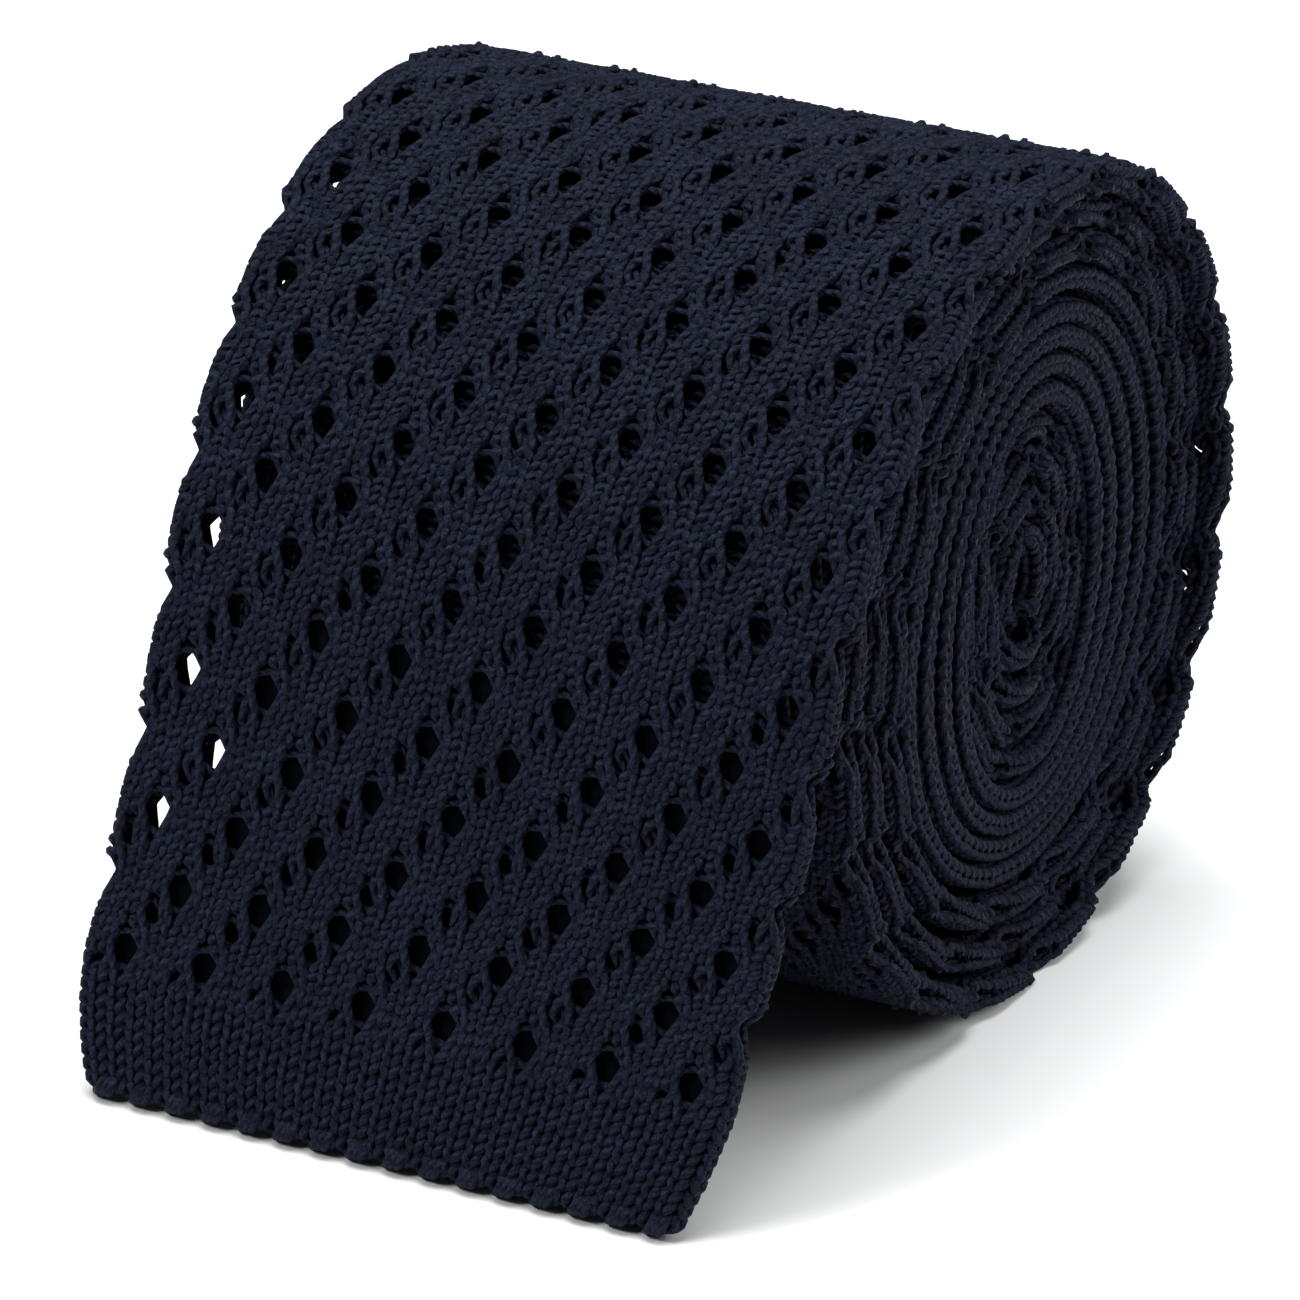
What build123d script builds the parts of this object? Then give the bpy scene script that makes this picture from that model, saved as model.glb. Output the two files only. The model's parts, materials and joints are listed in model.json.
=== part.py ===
from build123d import *
import os
from math import cos, degrees, radians, sin

# A knitted tie, rolled up from its narrow tail, with its wide end hanging to the table.
# +X runs along the roll's axis, -Y is the side where the wide end hangs, +Z is up.
# The origin is on the table, under the roll's axis, at the middle of the tie's width.

# ---- the tie's knitted tube, lying flat: widths and thicknesses of its stretches
blade_width = 60.0
neck_width = 54.5
tail_width = 53.0
fall_width = 58.0          # half way down the hanging end
band_width = 56.8          # where the openwork meets the plain hem band
hem_width = 51.6           # at the very edge, where the closing seam draws it in
blade_thickness = 2.7
neck_thickness = 2.1
tail_thickness = 2.4

# ---- the roll
roll_radius = 34.4
blade_gap = 0.4            # air between one turn and the next, in the lofty blade
inner_gap = 0.3            # and in the neck band and the tail, which are wound tighter
blade_half_turns = 6
neck_half_turns = 9
core_radius = 1.5          # the smallest hollow that the tail can be wound round
rest_flat_depth = 0.15     # how far the roll's own weight flattens it where it rests

# ---- the hanging end
leave_angle = 22.0         # its slope, below level, where it leaves the roll
fall_radius = 50.0         # the bow of its upper part
drop_angle = 72.0          # the slope of its straight lower part
hinge_clearance = 0.3      # round each line where the fabric bends

# ---- plain bands and seams
hem_band_length = 8.0
closing_seam_length = 1.6
closing_seam_thickness = 2.3
tail_seam_length = 1.3
tail_seam_thickness = 2.2
back_seam_width = 3.0
back_seam_depth = 0.8

# ---- the keeper loop and the blank care label, sewn to the blade's back inside the roll
keeper_width = 10.0
keeper_length = 38.0
keeper_thickness = 0.5
keeper_angle = -42.0       # where it lies in the outermost turn, from level at the back
tack_length = 1.6
label_width = 14.0
label_length = 20.0
label_thickness = 0.3
label_angle = 20.0         # where it lies in the second turn, from level at the back
trim_press = 0.3           # how far both press into the knit
trim_clearance = 0.05

blade = "blade"
neck = "neck"
tail = "tail"
thickness_of = {blade: blade_thickness, neck: neck_thickness, tail: tail_thickness}
gap_of = {blade: blade_gap, neck: inner_gap, tail: inner_gap}


# ---- the roll's line: half turns, numbered from the outside in, each one a half circle.
# Even ones pass behind the axis and odd ones in front of it, and they meet above and below it.
# Where two stretches meet, the next turn inwards leaves room for the thicker of them.
half_turns = []
radius = roll_radius
height = roll_radius - rest_flat_depth
pitch_before = 0.0
while True:
    number = len(half_turns)
    stretch = blade
    if number >= blade_half_turns:
        stretch = neck
    if number >= blade_half_turns + neck_half_turns:
        stretch = tail
    if stretch == tail and radius - tail_thickness < core_radius:
        break
    half_turns.append((radius, height, stretch))
    pitch = thickness_of[stretch] + gap_of[stretch]
    step = max(pitch, pitch_before) / 2
    pitch_before = pitch
    radius -= step
    height += -step if number % 2 == 0 else step

first_neck = blade_half_turns
first_tail = blade_half_turns + neck_half_turns
tail_hem = len(half_turns) - 1


def side_angle(number):
    """Where a half turn starts, counted from level at the back."""
    return -90 if number % 2 == 0 else 90


def outer_end(number):
    """+1 where a half turn's outer end is above the axis, -1 where it is below."""
    return 1 if number % 2 == 0 else -1


def half_turn_point(number, end, inset):
    """A point above or below the axis, at a depth under a half turn's outer face."""
    radius, height, stretch = half_turns[number]
    return (0, height + end * (radius - inset))


def draw_band(first, last, from_inset, to_inset, lead=0):
    """The closed outline of some half turns, between two depths, in the current BuildLine.
    The lead, in degrees, carries the outermost one on over the top and down the front."""
    for inset in (from_inset, to_inset):
        for number in range(first, last + 1):
            radius, height, stretch = half_turns[number]
            CenterArc((0, height), radius - inset, side_angle(number), 180)
        if lead:
            radius, height, stretch = half_turns[first]
            CenterArc((0, height), radius - inset, 90, lead)
    for number, end in ((first, outer_end(first)), (last, -outer_end(last))):
        if lead and number == first and end == outer_end(first):
            radius, height, stretch = half_turns[first]
            Line(on_heading((0, height), radius - from_inset, lead),
                 on_heading((0, height), radius - to_inset, lead))
        else:
            Line(half_turn_point(number, end, from_inset),
                 half_turn_point(number, end, to_inset))


def on_heading(centre, radius, heading):
    """The point of a circle where a line going over it slopes down at this heading."""
    return (centre[0] - radius * sin(radians(heading)), centre[1] + radius * cos(radians(heading)))


# ---- the hanging end's line
half_blade = blade_thickness / 2
roll_axis = (0, half_turns[0][1])
fall_centre = on_heading(roll_axis, roll_radius - fall_radius, leave_angle)
lift_axis = on_heading(fall_centre, fall_radius - half_blade, leave_angle)
curl_axis = on_heading(fall_centre, fall_radius - half_blade, drop_angle)
down = (-cos(radians(drop_angle)), -sin(radians(drop_angle)))
proud = (-sin(radians(drop_angle)), cos(radians(drop_angle)))
half_seam = closing_seam_thickness / 2

# The closing seam's rounded edge just touches the table.
seam_centre_run = (curl_axis[1] - half_seam) / -down[1]
hem_edge_run = seam_centre_run - closing_seam_length + half_seam
hem_top_run = hem_edge_run - hem_band_length


def on_drop(run, out):
    """A point of the straight part: its distance below the curl line, and outwards."""
    return (curl_axis[0] + run * down[0] + out * proud[0],
            curl_axis[1] + run * down[1] + out * proud[1])


def draw_slab(from_run, to_run, from_out, to_out):
    """A straight slab's outline, in the current BuildLine."""
    Polyline(on_drop(from_run, from_out), on_drop(to_run, from_out),
             on_drop(to_run, to_out), on_drop(from_run, to_out), close=True)


def draw_front(top, low):
    """The hanging end's outline from the front, through two (height, width) pairs and a little
    past them both ways, in the current BuildLine."""
    slope = (top[1] - low[1]) / (top[0] - low[0])
    high = (top[0] + blade_thickness, top[1] + slope * blade_thickness)
    deep = (low[0] - blade_thickness, low[1] - slope * blade_thickness)
    Polyline((-high[1] / 2, high[0]), (high[1] / 2, high[0]),
             (deep[1] / 2, deep[0]), (-deep[1] / 2, deep[0]), close=True)


def draw_fall(from_inset, to_inset):
    """The bowed upper part's outline, between two depths, in the current BuildLine."""
    for inset in (from_inset, to_inset):
        CenterArc(fall_centre, fall_radius - inset, 90 + leave_angle, drop_angle - leave_angle)
    for heading in (leave_angle, drop_angle):
        Line(on_heading(fall_centre, fall_radius - from_inset, heading),
             on_heading(fall_centre, fall_radius - to_inset, heading))


lift_line = (lift_axis[1], blade_width)
curl_line = (curl_axis[1], fall_width)
band_line = (on_drop(hem_top_run, 0)[1], band_width)
hem_line = (on_drop(hem_edge_run, 0)[1], hem_width)
front_reach = 3 * roll_radius
hinge_radius = half_blade + hinge_clearance
open_side = inner_gap / 2      # how far a groove's cutter reaches into the air under a turn

os.makedirs("parts", exist_ok=True)


class Trim:
    """A flat strip pressed into the inner face of one half turn, bent round the roll's axis."""

    def __init__(self, number, angle, along, thickness):
        radius, self.height, stretch = half_turns[number]
        inner_face = radius - thickness_of[stretch]
        self.angle = angle
        self.top = inner_face + trim_press
        self.bottom = self.top - thickness
        self.half_span = degrees(along / 2 / inner_face)
        self.margin = degrees(trim_clearance / inner_face)

    def draw(self, low_radius, high_radius, half_span):
        """A sector between two radii, in the current BuildLine."""
        for radius in (low_radius, high_radius):
            CenterArc((0, self.height), radius, self.angle - half_span, 2 * half_span)
        for angle in (self.angle - half_span, self.angle + half_span):
            way = (cos(radians(angle)), sin(radians(angle)))
            Line((low_radius * way[0], self.height + low_radius * way[1]),
                 (high_radius * way[0], self.height + high_radius * way[1]))

    def draw_strip(self):
        self.draw(self.bottom, self.top, self.half_span)

    def draw_hollow(self):
        self.draw(self.top - trim_press - open_side, self.top + trim_clearance,
                  self.half_span + self.margin)


keeper = Trim(0, keeper_angle, keeper_width, keeper_thickness)
label = Trim(2, label_angle, label_length, label_thickness)
keeper_reach = keeper_length / 2 + tack_length
trim_hollows = ((keeper, keeper_reach + trim_clearance), (label, label_width / 2 + trim_clearance))


# ---- the blade's turns: the outer three turns, ending where the hanging end leaves
with BuildPart() as blade_turns:
    with BuildSketch(Plane.YZ):
        with BuildLine():
            draw_band(0, first_neck - 1, 0, blade_thickness, leave_angle)
        make_face()
    extrude(amount=blade_width / 2, both=True)
    with BuildSketch(Plane.YZ):
        with Locations(lift_axis):
            Circle(hinge_radius)
    extrude(amount=blade_width, both=True, mode=Mode.SUBTRACT)
    # the groove for the back seam
    with BuildSketch(Plane.YZ):
        with BuildLine():
            draw_band(0, first_neck - 1, blade_thickness - back_seam_depth,
                      blade_thickness + open_side, leave_angle)
        make_face()
    extrude(amount=back_seam_width / 2, both=True, mode=Mode.SUBTRACT)
    # the hollows that the keeper loop and the care label press into the knit
    for trim, reach in trim_hollows:
        with BuildSketch(Plane.YZ):
            with BuildLine():
                trim.draw_hollow()
            make_face()
        extrude(amount=reach, both=True, mode=Mode.SUBTRACT)
    # the flat on which the roll rests
    with BuildSketch(Plane.XY):
        Rectangle(2 * blade_width, 4 * roll_radius)
    extrude(amount=-roll_radius, mode=Mode.SUBTRACT)
blade_turns.part.label = "blade_turns"
export_step(blade_turns.part, "parts/blade_turns.step")


# ---- the neck band's turns, in fine plain knit
with BuildPart() as neck_band:
    with BuildSketch(Plane.YZ):
        with BuildLine():
            draw_band(first_neck, first_tail - 1, 0, neck_thickness)
        make_face()
    extrude(amount=neck_width / 2, both=True)
    with BuildSketch(Plane.YZ):
        with BuildLine():
            draw_band(first_neck, first_tail - 1, neck_thickness - back_seam_depth,
                      neck_thickness + open_side)
        make_face()
    extrude(amount=back_seam_width / 2, both=True, mode=Mode.SUBTRACT)
neck_band.part.label = "neck_band"
export_step(neck_band.part, "parts/neck_band.step")


# ---- the tail's turns, in openwork knit
with BuildPart() as tail_turns:
    with BuildSketch(Plane.YZ):
        with BuildLine():
            draw_band(first_tail, tail_hem - 1, 0, tail_thickness)
        make_face()
    extrude(amount=tail_width / 2, both=True)
    with BuildSketch(Plane.YZ):
        with BuildLine():
            draw_band(first_tail, tail_hem - 1, tail_thickness - back_seam_depth,
                      tail_thickness + open_side)
        make_face()
    extrude(amount=back_seam_width / 2, both=True, mode=Mode.SUBTRACT)
tail_turns.part.label = "tail_turns"
export_step(tail_turns.part, "parts/tail_turns.step")


# ---- the tail's plain hem band: the innermost half turn
with BuildPart() as tail_hem_band:
    with BuildSketch(Plane.YZ):
        with BuildLine():
            draw_band(tail_hem, tail_hem, 0, tail_thickness)
        make_face()
    extrude(amount=tail_width / 2, both=True)
tail_hem_band.part.label = "tail_hem_band"
export_step(tail_hem_band.part, "parts/tail_hem_band.step")


# ---- the seam that closes the tail, at the core of the roll
core_end = -outer_end(tail_hem)
seam_start = half_turn_point(tail_hem, core_end, tail_thickness / 2)
with BuildPart() as tail_closing_seam:
    with BuildSketch(Plane.YZ):
        with Locations((core_end * tail_seam_length / 2, seam_start[1])):
            Rectangle(tail_seam_length, tail_seam_thickness)
    extrude(amount=tail_width / 2, both=True)
tail_closing_seam.part.label = "tail_closing_seam"
export_step(tail_closing_seam.part, "parts/tail_closing_seam.step")


# ---- the back seam inside the roll, one length for each stretch of the tie
with BuildPart() as roll_back_seam:
    for first, last, depth, lead in (
        (0, first_neck - 1, blade_thickness, leave_angle),
        (first_neck, first_tail - 1, neck_thickness, 0),
        (first_tail, tail_hem - 1, tail_thickness, 0),
    ):
        with BuildSketch(Plane.YZ):
            with BuildLine():
                draw_band(first, last, depth - back_seam_depth, depth, lead)
            make_face()
        extrude(amount=back_seam_width / 2, both=True)
    with BuildSketch(Plane.YZ):
        with Locations(lift_axis):
            Circle(hinge_radius)
    extrude(amount=blade_width, both=True, mode=Mode.SUBTRACT)
    for trim, reach in trim_hollows:
        with BuildSketch(Plane.YZ):
            with BuildLine():
                trim.draw_hollow()
            make_face()
        extrude(amount=reach, both=True, mode=Mode.SUBTRACT)
roll_back_seam.part.label = "roll_back_seam"
export_step(roll_back_seam.part, "parts/roll_back_seam.step")


# ---- the keeper loop: a flat woven band across the blade's back, over the back seam
with BuildPart() as keeper_loop:
    with BuildSketch(Plane.YZ):
        with BuildLine():
            keeper.draw_strip()
        make_face()
    extrude(amount=keeper_length / 2, both=True)
keeper_loop.part.label = "keeper_loop"
export_step(keeper_loop.part, "parts/keeper_loop.step")


# ---- the two rows of stitches that hold the keeper loop's ends
with BuildPart() as keeper_tacks:
    for side in (-1, 1):
        with BuildSketch(Plane.YZ.offset(side * keeper_length / 2)):
            with BuildLine():
                keeper.draw_strip()
            make_face()
        extrude(amount=side * tack_length)
keeper_tacks.part.label = "keeper_tacks"
export_step(keeper_tacks.part, "parts/keeper_tacks.step")


# ---- the care label: a blank satin tag inside the second turn
with BuildPart() as care_label:
    with BuildSketch(Plane.YZ):
        with BuildLine():
            label.draw_strip()
        make_face()
    extrude(amount=label_width / 2, both=True)
care_label.part.label = "care_label"
export_step(care_label.part, "parts/care_label.step")


# ---- the hanging end, upper part: it bows from the roll down to where the end curls
with BuildPart() as wide_end_upper:
    with BuildSketch(Plane.YZ):
        with BuildLine():
            draw_fall(0, blade_thickness)
        make_face()
        with Locations(curl_axis):
            Circle(hinge_radius, mode=Mode.SUBTRACT)
        with Locations(lift_axis):
            Circle(half_blade)
    extrude(amount=blade_width / 2, both=True)
    with BuildSketch(Plane.XZ):
        with BuildLine():
            draw_front(lift_line, curl_line)
        make_face()
    extrude(amount=front_reach, both=True, mode=Mode.INTERSECT)
    with BuildSketch(Plane.YZ):
        with BuildLine():
            draw_fall(blade_thickness - back_seam_depth, blade_thickness + open_side)
        make_face()
    extrude(amount=back_seam_width / 2, both=True, mode=Mode.SUBTRACT)
wide_end_upper.part.label = "wide_end_upper"
export_step(wide_end_upper.part, "parts/wide_end_upper.step")


# ---- the back seam on the upper part
with BuildPart() as upper_back_seam:
    with BuildSketch(Plane.YZ):
        with BuildLine():
            draw_fall(blade_thickness - back_seam_depth, blade_thickness)
        make_face()
        with Locations(curl_axis):
            Circle(hinge_radius, mode=Mode.SUBTRACT)
    extrude(amount=back_seam_width / 2, both=True)
upper_back_seam.part.label = "upper_back_seam"
export_step(upper_back_seam.part, "parts/upper_back_seam.step")


# ---- the hanging end, lower part: straight, from the curl line to the plain hem band
with BuildPart() as wide_end_lower:
    with BuildSketch(Plane.YZ):
        with BuildLine():
            draw_slab(0, hem_top_run, -half_blade, half_blade)
        make_face()
        with Locations(curl_axis):
            Circle(half_blade)
    extrude(amount=blade_width / 2, both=True)
    with BuildSketch(Plane.XZ):
        with BuildLine():
            draw_front(curl_line, band_line)
        make_face()
    extrude(amount=front_reach, both=True, mode=Mode.INTERSECT)
    with BuildSketch(Plane.YZ):
        with BuildLine():
            draw_slab(0, hem_edge_run, -half_blade - open_side, -half_blade + back_seam_depth)
        make_face()
    extrude(amount=back_seam_width / 2, both=True, mode=Mode.SUBTRACT)
wide_end_lower.part.label = "wide_end_lower"
export_step(wide_end_lower.part, "parts/wide_end_lower.step")


# ---- the plain hem band, drawn in towards its edge
with BuildPart() as wide_hem_band:
    with BuildSketch(Plane.YZ):
        with BuildLine():
            draw_slab(hem_top_run, hem_edge_run, -half_blade, half_blade)
        make_face()
    extrude(amount=blade_width / 2, both=True)
    with BuildSketch(Plane.XZ):
        with BuildLine():
            draw_front(band_line, hem_line)
        make_face()
    extrude(amount=front_reach, both=True, mode=Mode.INTERSECT)
    with BuildSketch(Plane.YZ):
        with BuildLine():
            draw_slab(hem_top_run, hem_edge_run, -half_blade - open_side,
                      -half_blade + back_seam_depth)
        make_face()
    extrude(amount=back_seam_width / 2, both=True, mode=Mode.SUBTRACT)
wide_hem_band.part.label = "wide_hem_band"
export_step(wide_hem_band.part, "parts/wide_hem_band.step")


# ---- the back seam on the lower part, down to the hem's edge
with BuildPart() as lower_back_seam:
    with BuildSketch(Plane.YZ):
        with BuildLine():
            draw_slab(0, hem_edge_run, -half_blade, -half_blade + back_seam_depth)
        make_face()
    extrude(amount=back_seam_width / 2, both=True)
lower_back_seam.part.label = "lower_back_seam"
export_step(lower_back_seam.part, "parts/lower_back_seam.step")


# ---- the linked seam that closes the wide end, with the rounded edge that meets the table
with BuildPart() as wide_closing_seam:
    with BuildSketch(Plane.YZ):
        with BuildLine():
            Line(on_drop(hem_edge_run, -half_seam), on_drop(hem_edge_run, half_seam))
            Line(on_drop(hem_edge_run, half_seam), on_drop(seam_centre_run, half_seam))
            CenterArc(on_drop(seam_centre_run, 0), half_seam, 90 + drop_angle, 180)
            Line(on_drop(seam_centre_run, -half_seam), on_drop(hem_edge_run, -half_seam))
        make_face()
    extrude(amount=hem_width / 2, both=True)
wide_closing_seam.part.label = "wide_closing_seam"
export_step(wide_closing_seam.part, "parts/wide_closing_seam.step")


# ---- what the sizes come to
wound = sum(radians(180) * (radius - thickness_of[stretch] / 2)
            for radius, height, stretch in half_turns)
bowed = radians(drop_angle - leave_angle) * (fall_radius - half_blade)
leading = radians(leave_angle) * (roll_radius - half_blade)
hanging = bowed + hem_edge_run + closing_seam_length
print("half turns", len(half_turns), "tie length", round(wound + leading + hanging, 1))
print("lift axis", lift_axis, "curl axis", curl_axis)
print("hem edge", on_drop(hem_edge_run, 0), "hem top", on_drop(hem_top_run, 0))
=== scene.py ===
import json

import bpy
import numpy as np
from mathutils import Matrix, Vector


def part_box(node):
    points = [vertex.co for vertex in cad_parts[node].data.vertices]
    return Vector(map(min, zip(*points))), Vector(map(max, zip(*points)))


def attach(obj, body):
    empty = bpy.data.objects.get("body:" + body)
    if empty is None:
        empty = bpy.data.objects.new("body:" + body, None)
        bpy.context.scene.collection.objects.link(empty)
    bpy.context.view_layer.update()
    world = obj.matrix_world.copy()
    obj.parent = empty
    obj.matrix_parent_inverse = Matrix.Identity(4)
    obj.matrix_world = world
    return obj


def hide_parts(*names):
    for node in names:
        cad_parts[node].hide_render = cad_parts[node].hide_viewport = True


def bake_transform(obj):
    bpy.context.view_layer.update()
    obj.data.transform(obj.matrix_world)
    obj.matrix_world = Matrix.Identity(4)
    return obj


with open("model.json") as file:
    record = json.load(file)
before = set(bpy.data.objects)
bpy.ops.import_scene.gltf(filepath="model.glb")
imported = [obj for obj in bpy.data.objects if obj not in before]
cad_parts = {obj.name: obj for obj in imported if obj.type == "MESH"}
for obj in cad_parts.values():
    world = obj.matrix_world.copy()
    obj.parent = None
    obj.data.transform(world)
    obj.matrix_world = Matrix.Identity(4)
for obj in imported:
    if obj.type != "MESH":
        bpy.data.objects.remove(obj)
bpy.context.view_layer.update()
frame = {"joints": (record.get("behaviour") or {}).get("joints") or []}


# ---- The wide hem band: a plain band knitted first at the wide end of one long flat tube, in
# matt navy yarn of three plies. Each stitch is a loop that hooks under the next course's loop.
MM = 0.001
DROP_ANGLE = 72.0
LEAVE_ANGLE = 22.0
BLADE_HALF_TURNS = 6
NECK_HALF_TURNS = 9
THICK = {"blade": 2.7, "neck": 2.1, "tail": 2.4}
GAP = {"blade": 0.4, "neck": 0.3, "tail": 0.3}
CORE_RADIUS = 1.5
WALES_ROUND = 64
PLAIN_COURSE = 1.02
PLAIN_COURSES = 9
OPEN_COURSE = 1.04
NECK_COURSE = 1.35
FIRST_OPEN = 10.66
NAVY = (0.0074, 0.0104, 0.0232)


def heading(angle):
    """The way up the tie and the way out of its face, where the tie slopes by this angle."""
    turn = np.radians(angle)
    along = np.stack([np.cos(turn), np.sin(turn)], -1)
    return along, np.stack([-along[..., 1], along[..., 0]], -1)


def corners(node):
    """A CAD node's lowest and highest corners, in millimetres."""
    low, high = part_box(node)
    return np.array(low) / MM, np.array(high) / MM


pivots = {joint["name"]: np.array(joint["pos_m"][1:]) / MM for joint in frame["joints"]}
lift_at, curl_at = pivots["end_lift"], pivots["end_curl"]
roll_high = corners("blade_turns")[1]
roll_radius = roll_high[1]
axis_height = roll_high[2] - roll_radius
half_bow = np.radians(DROP_ANGLE - LEAVE_ANGLE) / 2
bow_radius = np.linalg.norm(curl_at - lift_at) / 2 / np.sin(half_bow)
straight_run = curl_at[1] / np.sin(np.radians(DROP_ANGLE))
lift_run = straight_run + 2 * half_bow * bow_radius


def wind():
    """The arcs that the tie follows from the hem to the core: where each starts along the tie,
    its first slope, its centre, its outer radius, and the tie's thickness there."""
    bow_centre = curl_at - heading(DROP_ANGLE)[1] * bow_radius
    arcs = [(straight_run, DROP_ANGLE, *bow_centre, bow_radius + THICK["blade"] / 2,
             THICK["blade"])]
    run, slope, radius, height, pitch_before = lift_run, LEAVE_ANGLE, roll_radius, axis_height, 0.0
    for number in range(99):
        stretch = "blade" if number < BLADE_HALF_TURNS else "neck"
        stretch = "tail" if number >= BLADE_HALF_TURNS + NECK_HALF_TURNS else stretch
        thick = THICK[stretch]
        if stretch == "tail" and radius - thick < CORE_RADIUS:
            return np.array(arcs), run
        sweep = 180.0 + (LEAVE_ANGLE if number == 0 else 0.0)
        arcs.append((run, slope, 0.0, height, radius, thick))
        run += np.radians(sweep) * (radius - thick / 2)
        slope -= sweep
        step = max(thick + GAP[stretch], pitch_before) / 2
        pitch_before = thick + GAP[stretch]
        height += -step if number % 2 == 0 else step
        radius -= step


ARCS, tie_length = wind()
neck_run, tail_run = ARCS[1 + BLADE_HALF_TURNS, 0], ARCS[1 + BLADE_HALF_TURNS + NECK_HALF_TURNS, 0]
second_turn_run, core_run = ARCS[3, 0], ARCS[-1, 0]


def ease(low, high, value):
    """0 up to low, 1 from high on, and a smooth rise between them."""
    share = np.clip((value - low) / (high - low), 0, 1)
    return share * share * (3 - 2 * share)


def thickness(run):
    """The flat tube's thickness: thinner in the neck band, and fuller again in the tail."""
    neck, tail = ease(neck_run - 4, neck_run + 4, run), ease(tail_run - 4, tail_run + 4, run)
    return (THICK["blade"] + neck * (THICK["neck"] - THICK["blade"])
            + tail * (THICK["tail"] - THICK["neck"]))


CORE_OFF_MIDDLE = 2.0
CORE_NARROWER, CORE_TALLER = 0.18, 0.12


def settle(place):
    """The hand-wound roll as it settles: its core stands a little oval, and off the middle."""
    across, up = place[..., 0], place[..., 1] - axis_height
    deep = 1 - ease(12.0, 25.0, np.hypot(across, up))
    shift = CORE_OFF_MIDDLE * (1 - ease(22.0, 33.0, np.hypot(across, up)))
    return np.stack([across * (1 - CORE_NARROWER * deep) + shift,
                     up * (1 + CORE_TALLER * deep) + axis_height], -1)


def line_at(run):
    """The middle of the tie's thickness, and the way out of its face, along the tie."""
    arc = np.clip(np.searchsorted(ARCS[:, 0], run, side="right") - 1, 0, len(ARCS) - 1)
    start, slope, centre_y, centre_z, radius, thick = np.moveaxis(ARCS[arc], -1, 0)
    slope = slope - np.degrees((run - start) / (radius - thick / 2))
    slope = np.where(run < straight_run, DROP_ANGLE, slope)
    along, out = heading(slope)
    middle = np.stack([centre_y, centre_z], -1) + out * (radius - thickness(run) / 2)[..., None]
    straight = curl_at + along * (run - straight_run)[..., None]
    middle = np.where((run < straight_run)[..., None], straight, middle)
    return np.where((run > lift_run)[..., None], settle(middle), middle), out


def width_of(node):
    """The width of a CAD node, across the tie."""
    low, high = corners(node)
    return high[0] - low[0]


blade_width, neck_width, tail_width = (width_of(n) for n in ("blade_turns", "neck_band", "tail_turns"))
band_width, hem_width = width_of("wide_hem_band"), width_of("wide_closing_seam")


INNER_TAPER = 3.8


def width(run):
    """The tie's width: drawn in at the hem, full in the blade, a little narrower in its inner
    turns, and narrow round the neck."""
    hem = band_width - (band_width - hem_width) * (1 - np.clip(run / FIRST_OPEN, 0, 1)) ** 1.6
    blade = hem + (blade_width - band_width) * ease(FIRST_OPEN, lift_run, run)
    blade = blade - INNER_TAPER * ease(lift_run + 60, lift_run + 160, run)
    neck, tail = ease(neck_run - 12, neck_run + 2, run), ease(tail_run - 6, tail_run + 6, run)
    return blade + neck * (neck_width - blade) + tail * (tail_width - neck_width)


def wale_width(run):
    """How wide one wale is: the way round the flat tube, shared out."""
    fold = thickness(run) / 4
    return (2 * (width(run) - 4 * fold) + 2 * np.pi * fold) / WALES_ROUND


BACK_SLIDE = 2.3
WALES_HELD_LEFT = 6


def on_tube(run, wale, lift=0.0):
    """Points of the tube's wall, in metres. Wales count round from the middle of the face, and
    lift is how far a point stands out of the middle of the wall."""
    wale = (wale + WALES_ROUND / 2) % WALES_ROUND - WALES_ROUND / 2
    fold = thickness(run) / 4
    flat = width(run) / 2 - 2 * fold
    distance = np.abs(wale) * wale_width(run)
    angle = np.clip((distance - flat) / fold, 0, np.pi)
    past = np.clip(distance - flat - np.pi * fold, 0, None)
    across = np.minimum(distance, flat) + (fold + lift) * np.sin(angle) - past
    return in_line(slid(run, wale), np.sign(wale) * across, (fold + lift) * np.cos(angle))


def slid(run, wale):
    """The tube's back layer lies slid along its face, so that few eyelets meet through both,
    apart from those beside the left fold."""
    fold = WALES_ROUND / 4 + np.where(wale < 0, WALES_HELD_LEFT, 0)
    return run + BACK_SLIDE * ease(fold, fold + 5, np.abs(wale)) * ease(0, 9, run)


SKEW = 0.085
BOW_RIGHT = 0.8
HEM_LEFT = 2.5


def in_line(run, across, above):
    """Points at a place along the tie, across it and above the middle of its thickness. The
    hanging end is a little askew: its hem stands to the left, and it bows to the right above."""
    skew = SKEW * ease(10, 40, run) * (1 - ease(lift_run + 60, lift_run + 140, run))
    middle, out = line_at(run - skew * across)
    lean = BOW_RIGHT * ease(0, 40, run) * (1 - ease(40, lift_run, run))
    lean = lean - HEM_LEFT * (1 - ease(0, 40, run))
    return np.concatenate([(across + lean)[..., None], middle + out * above[..., None]], -1) * MM


def course_places():
    """Where every course lies along the tie, from the hem's edge to the tail's."""
    places = [FIRST_OPEN - step * PLAIN_COURSE for step in range(PLAIN_COURSES, 0, -1)]
    place = FIRST_OPEN
    while place < tie_length:
        places.append(place)
        place += NECK_COURSE if neck_run <= place < tail_run else OPEN_COURSE
    return np.array(places)


COURSES = course_places()
WOBBLE = np.random.default_rng(7).normal(0, 1, (4, len(COURSES), WALES_ROUND))


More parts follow.
